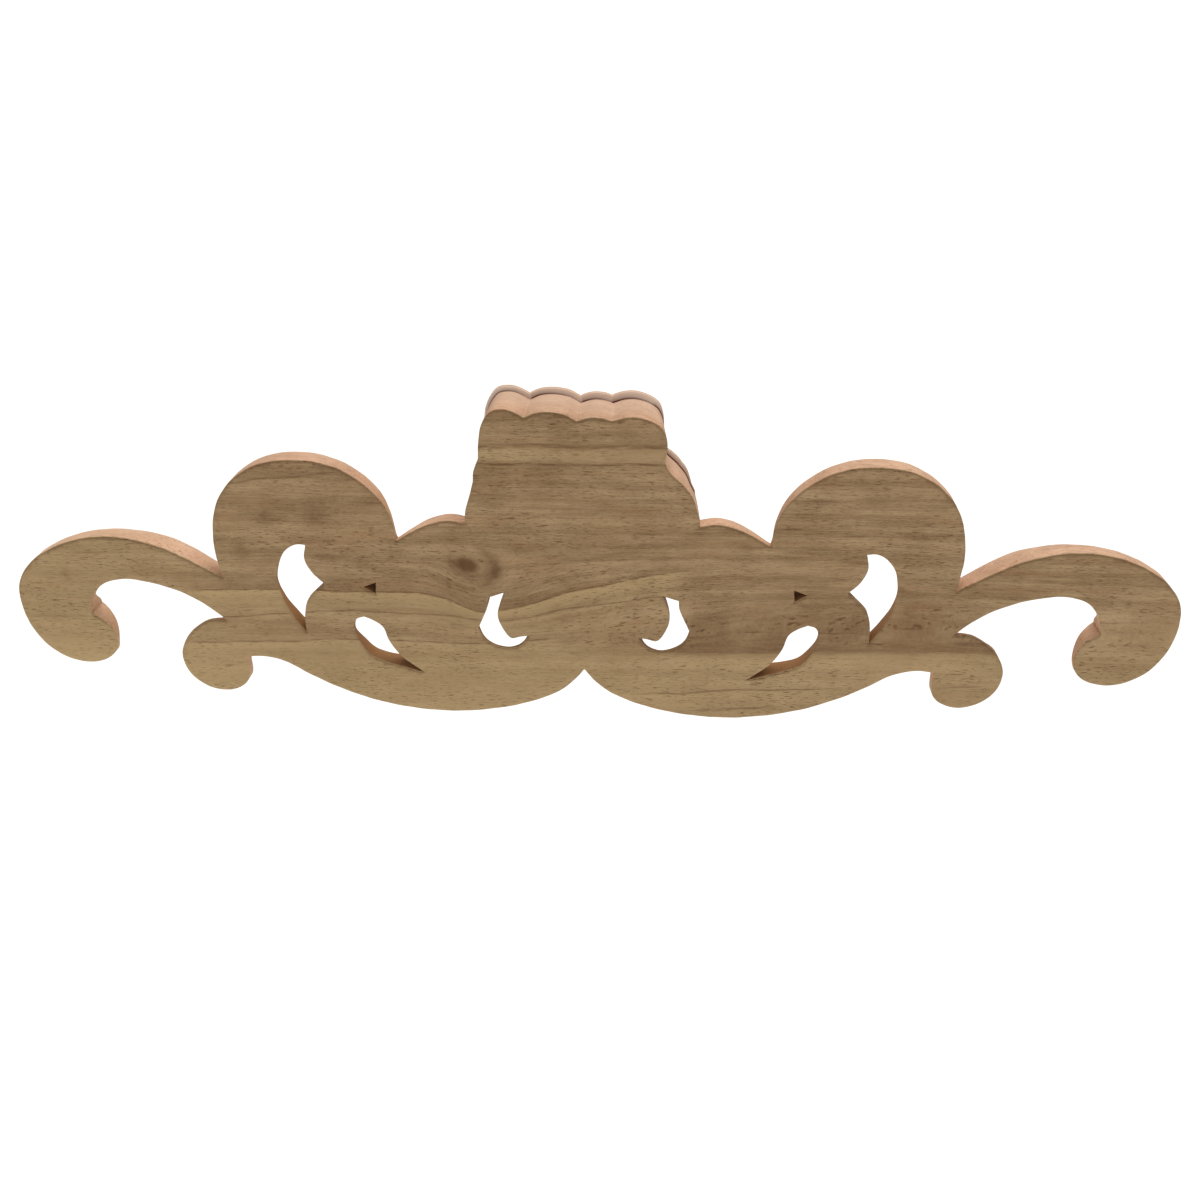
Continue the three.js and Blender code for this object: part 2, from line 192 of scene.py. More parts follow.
PIERCINGS = [SCROLL_PIERCING, BELLY_PIERCING, CRESCENT_PIERCING, EYELET_PIERCING]

# Valleys that part the leaves, and the vein along the middle of each leaf
PARTINGS = [
    [[62.8, 7.8], [66, 0], [71.4, -8.2]],
    [[75.8, -10], [82, -10.5], [89.6, -9]],
    [[71.9, -12.5], [74, -17], [77, -21.8]],
    [[125.3, -7.3], [119, -17], [109, -25], [98.3, -28.1]],
    [[126.4, -24.3], [114, -30.5], [100, -34], [88, -36], [76, -37.2]],
    [[57, -44], [47, -43], [39, -37], [34, -31]],
    [[19, -28], [10, -34.5], [0, -41.2]],
]
VEINS = [
    [[16, -47], [40, -51], [66, -50.5], [92, -42], [114, -33.5], [128, -29]],
    [[106, -30], [124, -17], [140, -6.5], [158, -0.5], [176, -2], [188, -12], [191, -24]],
    [[110, -22], [116.5, -8], [116, 8], [108, 21], [94, 26], [80, 21], [74, 9], [78, -3], [85, -7.5]],
    [[44, -30], [52, -18], [53, -5], [47, 8]],
    [[62, -36], [63, -26], [66, -16]],
]

# Volutes as (middle, radius where the spiral starts, angle it starts at)
VOLUTES = [((132.8, -40.0), 8.6, math.pi / 2), ((182.0, -29.5), 9.6, 0.0)]
VOLUTE_TURNS = 1.1
VOLUTE_SHRINK = 0.45
EYE_SHARE = 0.4
# The shell's side from its foot to the middle, its hub, and the points that its flutes run to
SHELL_SIDE = [
    [39.2, 14.6], [37.5, 4], [33, -6], [28.6, -13], [29.5, -20], [25, -28], [12, -33.5], [0, -38],
]
HUB = (0.0, -26.0)
FLUTES = [
    (28.6, -13), (39.2, 14.6), (33.4, 37.5), (17.8, 51.7), (1, 50.7),
    (-10.3, 50.8), (-27.3, 36.8), (-39.2, 14.6), (-28.6, -13),
]

# Where the carver left the rim thicker or cut it thinner, as (distance from the axis, height, reach, change)
RIM_CHANGES = [
    (142, 2, 20, 2.8),
    (65, 13, 9, -4.5),
    (98, 37, 16, 2.0),
    (104, -7, 12, -5.0),
    (92, -14, 6, -3.0),
    (29, -29, 13, -6.0),
    (172, -14, 5.5, -5.0),
    (176, -23, 5, 3.0),
    (168, -35, 7, -4.0),
    (134, -26, 11, -6.0),
    (121.5, -45, 7, -1.8),
    (81, -26, 6, -4.0),
    (62, -43, 8, 2.5),
    (73, -10, 6, 3.0),
]


# Curves and loops


def curve(points, step):
    """A centripetal Catmull-Rom curve: each span is the cubic that leaves and arrives with slopes taken from
    the neighbouring points, each weighted by the square root of its distance. It is then cut into even parts
    no longer than a step."""
    p = np.asarray(points, dtype=float)
    ghost = np.vstack([2 * p[0] - p[1], p, 2 * p[-1] - p[-2]])
    root = np.sqrt(np.linalg.norm(np.diff(ghost, axis=0), axis=1))[:, None]
    a, b, c, d = ghost[:-3], ghost[1:-2], ghost[2:-1], ghost[3:]
    before, here, after = root[:-2], root[1:-1], root[2:]
    leave = ((b - a) / before - (c - a) / (before + here) + (c - b) / here) * here
    arrive = ((c - b) / here - (d - b) / (here + after) + (d - c) / after) * here
    t = np.linspace(0, 1, SPAN_PARTS + 1)[None, :-1, None]
    spans = (
        (2 * t**3 - 3 * t**2 + 1) * b[:, None]
        + (t**3 - 2 * t**2 + t) * leave[:, None]
        + (3 * t**2 - 2 * t**3) * c[:, None]
        + (t**3 - t**2) * arrive[:, None]
    )
    fine = np.vstack([spans.reshape(-1, 2), p[-1:]])
    length = np.r_[0, np.cumsum(np.linalg.norm(np.diff(fine, axis=0), axis=1))]
    at = np.linspace(0, length[-1], max(2, math.ceil(length[-1] / step) + 1))
    return np.c_[np.interp(at, length, fine[:, 0]), np.interp(at, length, fine[:, 1])]


def joined(stretches, step):
    """Stretches end to end, with each shared corner kept once and the last point left for what follows."""
    return np.vstack([curve(points, step)[:-1] for points in stretches])


def mirrored(points):
    """The points on the other side of the axis."""
    return np.asarray(points) * [-1, 1]


def shell_line(step):
    """The shell's free edge, from -X over the top to +X."""
    return joined([stretch[::-1] for stretch in SHELL_EDGE[::-1]], step)


def outline_loop(step):
    """The whole outline: one half, its mirror image and the shell's edge, counter-clockwise in X and Z."""
    half = joined([LEAFLET, SCROLL, TAIL, UNDER_TAIL, FOOT, BELLY], step)
    other_half = mirrored(half)[::-1]
    return np.vstack([half, [BELLY[-1]], other_half[:-1], shell_line(step)])[::-1]


def turned(loop, anticlockwise):
    """The loop, reversed where its signed area says that it runs the other way."""
    x, z = loop.T
    area = np.sum(x * np.roll(z, -1) - z * np.roll(x, -1))
    return loop if (area > 0) == anticlockwise else loop[::-1]


def board_loops(step):
    """The outline, counter-clockwise, and then each piercing and its mirror image, clockwise."""
    holes = [joined(piercing, step) for piercing in PIERCINGS]
    holes += [mirrored(hole) for hole in holes]
    return [turned(outline_loop(step), True)] + [turned(hole, False) for hole in holes]


def outward(loop):
    """Unit normals that point out of the wood: the tangent across each point, turned clockwise by a right
    angle."""
    along = np.roll(loop, -1, axis=0) - np.roll(loop, 1, axis=0)
    normal = np.c_[along[:, 1], -along[:, 0]]
    return normal / np.linalg.norm(normal, axis=1)[:, None]


def spiral(middle, radius, start):
    """A spiral whose radius shrinks evenly with its angle."""
    share = np.linspace(0, 1, SPIRAL_POINTS)
    r = radius * (1 - (1 - VOLUTE_SHRINK) * share)
    angle = start - share * VOLUTE_TURNS * 2 * math.pi
    return np.c_[middle[0] + r * np.cos(angle), middle[1] + r * np.sin(angle)]


# Measures over many points at once


def nearest(points, chain, closed=False):
    """Distance from each point to a chain of facets, and the number of the chain's point nearest to it. The
    nearest point of the chain is found first, and then the distance to the two facets that meet there."""
    chain = np.asarray(chain, dtype=float)
    ahead = np.roll(chain, -1, axis=0)
    if not closed:
        ahead[-1] = chain[-1]
    at = np.empty(len(points), dtype=int)
    for first in range(0, len(points), NEAREST_BLOCK):
        block = points[first : first + NEAREST_BLOCK]
        squares = (chain**2).sum(axis=1)[None] - 2 * block @ chain.T
        at[first : first + NEAREST_BLOCK] = squares.argmin(axis=1)
    reach = np.full(len(points), np.inf)
    for start in (at, np.maximum(at - 1, 0) if not closed else (at - 1) % len(chain)):
        a, b = chain[start], ahead[start]
        side = b - a
        length = np.maximum((side**2).sum(axis=1), 1e-12)
        t = np.clip(((points - a) * side).sum(axis=1) / length, 0, 1)[:, None]
        reach = np.minimum(reach, np.linalg.norm(points - a - t * side, axis=1))
    return reach, at


def inside(points, loops):
    """True for a point whose level line to the left crosses the loops an odd number of times."""
    a = np.vstack(loops)
    b = np.vstack([np.roll(loop, -1, axis=0) for loop in loops])
    level = b[:, 1] == a[:, 1]
    slope = (b[:, 0] - a[:, 0]) / np.where(level, 1.0, b[:, 1] - a[:, 1])
    odd = np.empty(len(points), dtype=bool)
    for first in range(0, len(points), INSIDE_BLOCK):
        x, z = points[first : first + INSIDE_BLOCK].T[:, :, None]
        crossed = ((a[:, 1] > z) != (b[:, 1] > z)) & (x < a[:, 0] + (z - a[:, 1]) * slope)
        odd[first : first + INSIDE_BLOCK] = crossed.sum(axis=1) % 2 == 1
    return odd


def rise(share):
    """A smooth step from 0 to 1: three times the square less twice the cube."""
    share = np.clip(share, 0, 1)
    return share * share * (3 - 2 * share)


def grown(distance, start, reach):
    """A smooth step from 0 at a distance to 1 at a reach beyond it."""
    return rise((distance - start) / reach)


# The carved front


def rim_thickness(half):
    """Thickness at the sawn edges: a plain rim with a bell-shaped swell or dip round each place where it
    changes."""
    rim = np.full(len(half), RIM)
    for x, z, reach, change in RIM_CHANGES:
        rim += change * np.exp(-((half - (x, z)) ** 2).sum(axis=1) / reach**2)
    return np.maximum(rim, LEAST_RIM)


def above_foot(points):
    """How far up its foot the shell's free edge is, from 0 where it meets the leaves to 1 above the slope."""
    return np.clip((points[:, 1] - SHELL_FOOT) / FOOT_SLOPE, 0, 1)


def lip_overhang(points, normals):
    """How far the lip stands out over the wall: evenly all round, and moved by a small step up and to one
    side, of which the step up grows toward -X. It runs out where the shell meets the leaves."""
    overhang = LIP_OVERHANG + normals @ LIP_SHIFT + normals[:, 1] * LIP_TILT * points[:, 0]
    return overhang * above_foot(points)


def drawn_in(points, depth):
    """How far the shell's free edge is drawn in along X at a depth: in proportion to both the depth and the
    distance from the axis on its -X side."""
    x = points[:, 0]
    share = np.clip(-x / SHELL_HALF, 0, 1) * above_foot(points) * (np.abs(x) <= SHELL_REACH)
    return np.c_[SIDE_DRAFT * depth / LIP_BACK * share, np.zeros(len(points))]


def leaf_thickness(points, edge):
    """Thickness of the leaves and bands: a rim that swells to a crown with its distance from the sawn edge,
    parted by valleys, cut by a vein along its middle and by slanted side veins, with a round eye in each
    volute."""
    half = np.abs(points * [1, 0]) + points * [0, 1]
    parting = np.min([nearest(half, curve(line, GUIDE_STEP))[0] for line in PARTINGS], axis=0)
    crowned = rise(edge / CROWN_REACH)
    parted = 1 - rise(parting / PARTING_REACH)
    vein = np.full(len(points), np.inf)
    along = np.zeros(len(points))
    for points_of_vein in VEINS:
        reach, at = nearest(half, curve(points_of_vein, GUIDE_STEP))
        along = np.where(reach < vein, at * GUIDE_STEP, along)
        vein = np.minimum(vein, reach)
    curl = np.min([nearest(half, spiral(*volute))[0] for volute in VOLUTES], axis=0)
    phase = (along - SIDE_VEIN_SLANT * vein) / SIDE_VEIN_PITCH
    side = np.abs(phase - np.round(phase)) / SIDE_VEIN_WIDTH
    leaf = grown(vein, *SIDE_VEIN_FROM_VEIN) * grown(edge, *SIDE_VEIN_FROM_EDGE) * (1 - parted)
    leaf = leaf * grown(curl, *SIDE_VEIN_FROM_CURL)
    thickness = rim_thickness(half) + CROWN * crowned
    thickness -= PARTING_DEPTH * crowned * parted
    thickness -= VEIN_DEPTH * crowned * (1 - rise(np.minimum(vein, curl) / VEIN_REACH))
    thickness -= SIDE_VEIN_DEPTH * leaf * (1 - rise(side))
    for middle, radius, _ in VOLUTES:
        eye = np.linalg.norm(half - middle, axis=1) / (radius * EYE_SHARE)
        thickness += EYE_RISE * np.sqrt(np.maximum(0, 1 - eye * eye))
    return thickness


def shell_thickness(points, shell_edge):
    """Thickness of the shell: it leans forward from its hub to its lip. Its ribs are half sines across the
    angle between two flutes, each with a fine line along its crest, and a bead runs along its free edge."""
    angle = np.arctan2(points[:, 1] - HUB[1], points[:, 0] - HUB[0])
    flutes = np.array([math.atan2(z - HUB[1], x - HUB[0]) for x, z in FLUTES])
    rib = np.clip(np.searchsorted(flutes, angle), 1, len(flutes) - 1)
    width = flutes[rib] - flutes[rib - 1]
    across = np.clip((angle - flutes[rib - 1]) / width, 0, 1)
    radius = np.linalg.norm(points - HUB, axis=1)
    lip = LIP_BACK + LIP_FACE
    lean = rise(radius / SHELL_LEAN)
    edge = rise(shell_edge / CROWN_REACH)
    bulge = RIB_RISE * width * radius * (np.sin(np.pi * across) - FLUTE_SHARE)
    from_crest = np.abs(across - 0.5) * width * radius
    crest = RIB_LINE_DEPTH * (1 - rise(from_crest / RIB_LINE_WIDTH)) * grown(radius, *RIB_LINE_START)
    bead = BEAD_RISE * np.sin(np.pi * np.clip(shell_edge / BEAD_REACH, 0, 1)) ** 2
    return SHELL_HUB + (lip - SHELL_HUB) * lean + (SHELL_CROWN + bulge - crest) * edge + bead * lean


def front_thickness(points, edge):
    """Thickness of the board at each point: the leaves, and the shell rising over them by a short slope."""
    side = curve(SHELL_SIDE, GUIDE_STEP)
    line = shell_line(GUIDE_STEP)
    region = np.vstack([line, side, mirrored(side)[::-1][1:]])
    leaf = leaf_thickness(points, edge)
    shell_edge = nearest(points, line)[0]
    side_reach = np.minimum(nearest(points, side)[0], nearest(points, mirrored(side))[0])
    over = inside(points, [region]) | (shell_edge < TOUCH)
    shell = shell_thickness(points, shell_edge)
    return leaf + (shell - leaf) * rise(side_reach / SHELL_STEP) * over


# The board's mesh


def plan_mesh(loops, step):
    """Triangles over the board's plan: the loops, with staggered rows of points a step apart inside them,
    joined by a triangulation that keeps the loops as edges. Returns the points and the triangles,
    counter-clockwise."""
    corners = np.vstack(loops)
    (x0, z0), (x1, z1) = corners.min(axis=0), corners.max(axis=0)
    row = step * math.sqrt(3) / 2
    x, z = np.meshgrid(np.arange(x0, x1, step), np.arange(z0, z1, row))
    x = x + (np.arange(len(x)) % 2)[:, None] * step / 2
    grid = np.c_[x.ravel(), z.ravel()]
    grid = grid[nearest(grid, corners, closed=True)[0] > TOUCH]
    clear = np.full(len(grid), np.inf)
    for loop in loops:
        clear = np.minimum(clear, nearest(grid, loop, closed=True)[0])
    grid = grid[clear > LEAST_GAP * step]
    grid = grid[inside(grid, loops)]
    points = np.vstack([corners, grid])
    edges = []
    first = 0
    for loop in loops:
        number = np.arange(first, first + len(loop))
        edges += np.c_[number, np.roll(number, -1)].tolist()
        first += len(loop)
    found = delaunay_2d_cdt([Vector(p) for p in points.tolist()], edges, [], 0, 1e-7)
    if len(found[0]) != len(points):
        raise RuntimeError("the plan's points met each other")
    triangles = np.array(found[2])
    middles = points[triangles].mean(axis=1)
    rim = (triangles < len(corners)).all(axis=1)
    kept = np.ones(len(triangles), dtype=bool)
    kept[rim] = inside(middles[rim], loops)
    triangles = triangles[kept]
    a, b, c = points[triangles].transpose(1, 0, 2)
    area = (b[:, 0] - a[:, 0]) * (c[:, 1] - a[:, 1]) - (b[:, 1] - a[:, 1]) * (c[:, 0] - a[:, 0])
    triangles[area < 0] = triangles[area < 0][:, ::-1]
    return points, triangles


def sawn(loops):
    """The loops as a hand-held fret saw leaves them: moved along their normals by a sum of slow waves."""
    moved = []
    for loop in loops:
        x, z = loop.T
        wave = sum(share * np.sin(x * along + z * up + shift) for share, along, up, shift in SAW_WAVES)
        moved.append(loop + outward(loop) * (wave * SAW_WOBBLE / 2)[:, None])
    return moved


# Where along X the scallops of the shell's top meet
SCALLOP_ENDS = [-28.0, -10.3, 1.0, 17.8, 33.4]

# How much of the undercut has gone at the -X end of a scallop, and how far toward -X it begins to be cut in
# full again, with the reach over which it gets there
SCALLOP_FADE = 0.8
SIDE_UNDERCUT = (22.0, 4.0)

# What the attribute rim holds where the back's edge faces down or sideways. It is 1 where the edge faces up.
# The attribute rim darkens a thin line along the back's edges, and its extra darkness on the upper edges is
# painted shade
RIM_LINE_LEAST = 0.25

# How many times the mean is taken round a point of the front, and how far below it the wood is fully a valley
VALLEY_PASSES = 10
VALLEY_DEPTH = 0.5

# Rings of the wall between its two rounded arrises: share of the depth on a plain rim, depth and offset where
# the shell's lip stands over its undercut, and how dark the wood is there, partly browned by the saw and
# partly painted shade in the undercut. A ring without an offset is on the lip.
WALL_RINGS = [
    (0.10, 2.5, 0.0, 0),
    (0.22, 6.0, 0.0, 0),
    (0.36, 10.0, 0.0, 0),
    (0.50, 14.0, 0.0, 0),
    (0.62, SHELL_WALL - 0.15, 0.0, 0),
    (0.68, SHELL_WALL + 0.05, -UNDERCUT_DEPTH, 1),
    (0.74, LIP_BACK - 0.05, -UNDERCUT_DEPTH, 1),
    (0.80, LIP_BACK, 0.05, 1),
    (0.86, LIP_BACK + 0.02, 0.35, 0.4),
    (0.92, LIP_BACK + 0.05, None, 0),
    (0.96, LIP_BACK + 1.0, None, 0),
]


def undercut_share(points):
    """How much of the full undercut is cut at points of the rim: all of it at the +X end of each scallop,
    less in proportion to the way along X to the scallop's other end, and all of it again down the -X side."""
    x = points[:, 0]
    place = np.clip(np.searchsorted(SCALLOP_ENDS, x), 1, len(SCALLOP_ENDS) - 1)
    start, end = np.take(SCALLOP_ENDS, place), np.take(SCALLOP_ENDS, place - 1)
    along = np.clip((start - x) / (start - end), 0, 1)
    return np.maximum(1 - SCALLOP_FADE * along, grown(-x, *SIDE_UNDERCUT))


def valley_depth(points, thickness, triangles):
    """How much lower each point of the front lies than the mean of the wood round it, from 0 to 1. The mean
    is taken over the triangles that meet there, many times over, so that it reaches a few millimetres."""
    mean = thickness.copy()
    count = np.bincount(triangles.ravel(), minlength=len(points))
    for _ in range(VALLEY_PASSES):
        around = np.repeat(mean[triangles].mean(axis=1), 3)
        mean = np.bincount(triangles.ravel(), weights=around, minlength=len(points)) / count
    return np.clip((mean - thickness) / VALLEY_DEPTH, 0, 1)


def edge_distance(points):
    """Distance from each point to the nearest sawn edge, of the outline or of a piercing."""
    loops = board_loops(MEASURE_STEP)
    return np.min([nearest(points, loop, closed=True)[0] for loop in loops], axis=0)


def board_mesh():
    """The whole board as one closed mesh: a flat back, a carved front, and between them rings of points that
    follow each loop, carried along its normals by the profile of the wall. Returns the points in metres, the
    faces, the number of each face's finish, and the values that the materials read at each point."""
    loops = sawn(board_loops(EDGE_STEP))
    normals = [outward(loop) for loop in loops]
    inset = [loop - normal * ARRIS for loop, normal in zip(loops, normals)]
    back, back_faces = plan_mesh(inset, BACK_STEP)
    front, front_faces = plan_mesh(inset, FRONT_STEP)
    thickness = front_thickness(front, edge_distance(front))

    on_rim = sum(len(loop) for loop in loops)
    loop_points = np.vstack(loops)
    loop_normals = np.vstack(normals)
    rim_depth = thickness[:on_rim]
    lipped = grown(rim_depth, LIP_BACK, LIP_RISE)
    overhang = lipped * lip_overhang(loop_points, loop_normals)
    front[:on_rim] += loop_normals * overhang[:, None]
    front += drawn_in(front, thickness)

    rings = []
    turn = ARRIS * ARRIS_MIDDLE
    for depth, offset in ((turn, -turn), (ARRIS, 0.0)):
        rings.append((np.full(on_rim, depth), np.full(on_rim, offset)))
    straight = rim_depth - 2 * ARRIS
    # Saw-browning and painted shade in the undercut, ring by ring
    saw_burn_and_shade = [np.zeros(on_rim), np.zeros(on_rim)]
    cut = lipped * undercut_share(loop_points)
    for share, shell_depth, shell_offset, dark in WALL_RINGS:
        plain = ARRIS + straight * share
        if shell_offset is None:
            offset = overhang
        else:
            offset = shell_offset * (lipped if shell_offset > 0 else cut)
        rings.append((plain + (np.minimum(shell_depth, rim_depth) - plain) * lipped, offset))
        saw_burn_and_shade.append(dark * cut)
    rings.append((rim_depth - ARRIS, overhang))
    rings.append((rim_depth - turn, overhang - turn))
    saw_burn_and_shade += [np.zeros(on_rim), np.zeros(on_rim)]

    vertices = [np.c_[back[:, 0], np.zeros(len(back)), back[:, 1]]]
    for depth, offset in rings:
        at = loop_points + loop_normals * offset[:, None] + drawn_in(loop_points, depth)
        vertices.append(np.c_[at[:, 0], -depth, at[:, 1]])
    vertices.append(np.c_[front[:, 0], -thickness, front[:, 1]])
    starts = np.cumsum([0] + [len(v) for v in vertices])[:-1]

    number = np.arange(on_rim)
    ahead = np.empty(on_rim, dtype=int)
    first = 0
    for loop in loops:
        ahead[first : first + len(loop)] = first + np.roll(np.arange(len(loop)), -1)
        first += len(loop)
    walls = [
        np.c_[a + number, a + ahead, b + ahead, b + number]
        for a, b in zip(starts[:-1], starts[1:])
    ]
    faces = back_faces[:, ::-1].tolist() + np.vstack(walls).tolist()
    faces += (front_faces + starts[-1]).tolist()
    back_arris = front_arris = 2 * on_rim
    straight_wall = sum(map(len, walls)) - back_arris - front_arris
    in_kind = [len(back_faces) + back_arris, straight_wall, front_arris + len(front_faces)]
    kinds = np.repeat([0, 1, 2], in_kind)
    ring_points = len(rings) * on_rim
    # Walls of the piercings, which the materials darken partly with saw-browning and partly with painted
    # shade
    is_piercing = np.repeat([index > 0 for index in range(len(loops))], [len(loop) for loop in loops])
    on_back, on_front = np.zeros(len(back)), np.zeros(len(front))
    # The back's thin edge line, with painted shade that makes it stronger along the upward edges
    rim_line_and_shade = RIM_LINE_LEAST + (1 - RIM_LINE_LEAST) * np.maximum(loop_normals[:, 1], 0)
    values = {
        "rim": np.r_[rim_line_and_shade, np.zeros(len(back) - on_rim + ring_points + len(front))],
        "saw_burn_and_shade": np.r_[on_back, np.concatenate(saw_burn_and_shade), on_front],
        "piercing": np.r_[on_back, np.tile(is_piercing, len(rings)), on_front],
        "end_grain_and_shade": np.r_[on_back, np.tile(loop_normals[:, 0] ** 2, len(rings)), on_front],
        # Painted shade in the front's hollows
        "valley_shade": np.r_[on_back, np.zeros(ring_points), valley_depth(front, thickness, front_faces)],
    }
    return np.vstack(vertices) * MM, faces, kinds, values


def applique(materials):
    """The carved board as one object, kept within the solid's box."""
    vertices, faces, kinds, values = board_mesh()
    vertices = np.clip(vertices, np.array(LOW), np.array(HIGH))
    mesh = bpy.data.meshes.new("carved_board")
    mesh.from_pydata(vertices.tolist(), [], faces)
    for material in materials:
        mesh.materials.append(material)
    mesh.polygons.foreach_set("material_index", kinds)
    mesh.polygons.foreach_set("use_smooth", np.ones(len(kinds), dtype=bool))
    for name, value in values.items():
        mesh.attributes.new(name, "FLOAT", "POINT").data.foreach_set("value", value.astype(float))
    mesh.update()
    mesh.set_sharp_from_angle(angle=math.radians(SHARP_ANGLE))
    board = bpy.data.objects.new("carved_board", mesh)
    bpy.context.scene.collection.objects.link(board)
    return board


# Fields over the wood, for its materials


# Millimetres that the unit square of a curve node stands for, both ways
CURVE_SPAN = 420.0


class Field:
    """A value that varies over the wood: a shader socket, with sums and products of it, numbers and other
    fields."""

    def __init__(self, tree, socket):
        self.tree = tree
        self.socket = socket

    def of(self, operation, *others):
        """The field that a maths operation makes of this one and of others, which are fields or numbers."""
        node = self.tree.nodes.new("ShaderNodeMath")
        node.operation = operation
        self.tree.links.new(self.socket, node.inputs[0])
        for place, other in enumerate(others, start=1):
            if isinstance(other, Field):
                self.tree.links.new(other.socket, node.inputs[place])
            else:
                node.inputs[place].default_value = other
        return Field(self.tree, node.outputs[0])

    def __add__(self, other):
        return self.of("ADD", other)

    def __sub__(self, other):
        return self.of("SUBTRACT", other)

    def __mul__(self, other):
        return self.of("MULTIPLY", other)

    def __truediv__(self, other):
        return self.of("DIVIDE", other)

    def step(self, low, high):
        """A smooth step, from 0 at low to 1 at high."""
        node = self.tree.nodes.new("ShaderNodeMapRange")
        node.interpolation_type = "SMOOTHSTEP"
        self.tree.links.new(self.socket, node.inputs["Value"])
        node.inputs["From Min"].default_value = low
        node.inputs["From Max"].default_value = high
        return Field(self.tree, node.outputs[0])

    def hump(self, middle, reach):
        """A bell: e to the minus square of the distance from the middle, as a share of the reach."""
        off = (self - middle) / reach
        return (off * off * -1.0).of("EXPONENT")

    def between(self, low, high, soft):
        """1 between low and high, fading to 0 at both over a soft reach inside them."""
        return self.step(low, low + soft) * (self * -1.0).step(-high, soft - high)

    def follow(self, points):
        """The height of a smooth curve through points of (X, height), at this field as X, in millimetres."""
        node = self.tree.nodes.new("ShaderNodeFloatCurve")
        line = node.mapping.curves[0]
        places = sorted((x / CURVE_SPAN + 0.5, z / CURVE_SPAN + 0.5) for x, z in points)
        for _ in places[2:]:
            line.points.new(0.5, 0.5)
        for point, place in zip(line.points, places):
            point.location = place
        node.mapping.update()
        share = self / CURVE_SPAN + 0.5
        self.tree.links.new(share.socket, node.inputs["Value"])
        return (Field(self.tree, node.outputs[0]) - 0.5) * CURVE_SPAN


def noise(tree, x, y, z, detail, roughness):
    """Noise over three fields, already scaled, from 0 to 1."""
    place = tree.nodes.new("ShaderNodeCombineXYZ")
    for socket, value in zip(place.inputs, (x, y, z)):
        tree.links.new(value.socket, socket)
    node = tree.nodes.new("ShaderNodeTexNoise")
    node.inputs["Scale"].default_value = 1.0
    node.inputs["Detail"].default_value = detail
    node.inputs["Roughness"].default_value = roughness
    tree.links.new(place.outputs[0], node.inputs["Vector"])
    return Field(tree, node.outputs["Fac"])


def blended(tree, share, first, second):
    """A colour between two others, by a field. Each is a colour or the output of another blend."""
    node = tree.nodes.new("ShaderNodeMix")
    node.data_type = "RGBA"
    tree.links.new(share.socket, node.inputs["Factor"])
    for name, colour in (("A", first), ("B", second)):
        socket = [s for s in node.inputs if s.name == name and s.type == "RGBA"][0]
        if isinstance(colour, tuple):
            socket.default_value = (*colour, 1.0)
        else:
            tree.links.new(colour, socket)
    return [s for s in node.outputs if s.type == "RGBA"][0]


def linear(red, green, blue):
    """A colour given from 0 to 255 as a picture stores it, made linear."""
    shares = (value / 255 for value in (red, green, blue))
    return tuple(s / 12.92 if s <= 0.04045 else ((s + 0.055) / 1.055) ** 2.4 for s in shares)


# The knot's core, in millimetres from the frame's origin, its half width and half height, and its slope
KNOT = (39.3, -0.8)
KNOT_SIZE = (4.4, 3.0)
KNOT_TILT = 0.22
# The arc of dark wood round it: how far below the core its middle lies, and its half width and half height
KNOT_ARC_DROP = 1.0
KNOT_ARC_SIZE = (9.5, 7.5)
# Dark spots beside the knot: middle, half length and half height, and strength
KNOT_PATCH = (28.8, -3.6, 2.2, 3.6, 0.35)
KNOT_SPECK = (34.2, 0.7, 0.6, 0.45, 0.95)
# How far the fibres bend round the knot, and how far out along X and Z
KNOT_BEND = 3.2
KNOT_BEND_REACH = (11.0, 6.0)

# The growth line that dips under the knot and climbs past it, with its level away from the dip. The fibres
# follow it round the height where it dips, over a reach.
DIPPING_LINE = [
    (200, -12.5), (130, -12.3), (107, -11.5), (77, -11.8), (57, -12), (48, -14.1), (43, -16.2),
    (37, -18.6), (29, -17.9), (18, -15.4), (6, -10.9), (-8, -7.1), (-25, -3.2), (-45, -1), (-200, -1),
]
DIPPING_LEVEL = -12.0
DIP_HEIGHT = -13.0
DIP_REACH = 13.0

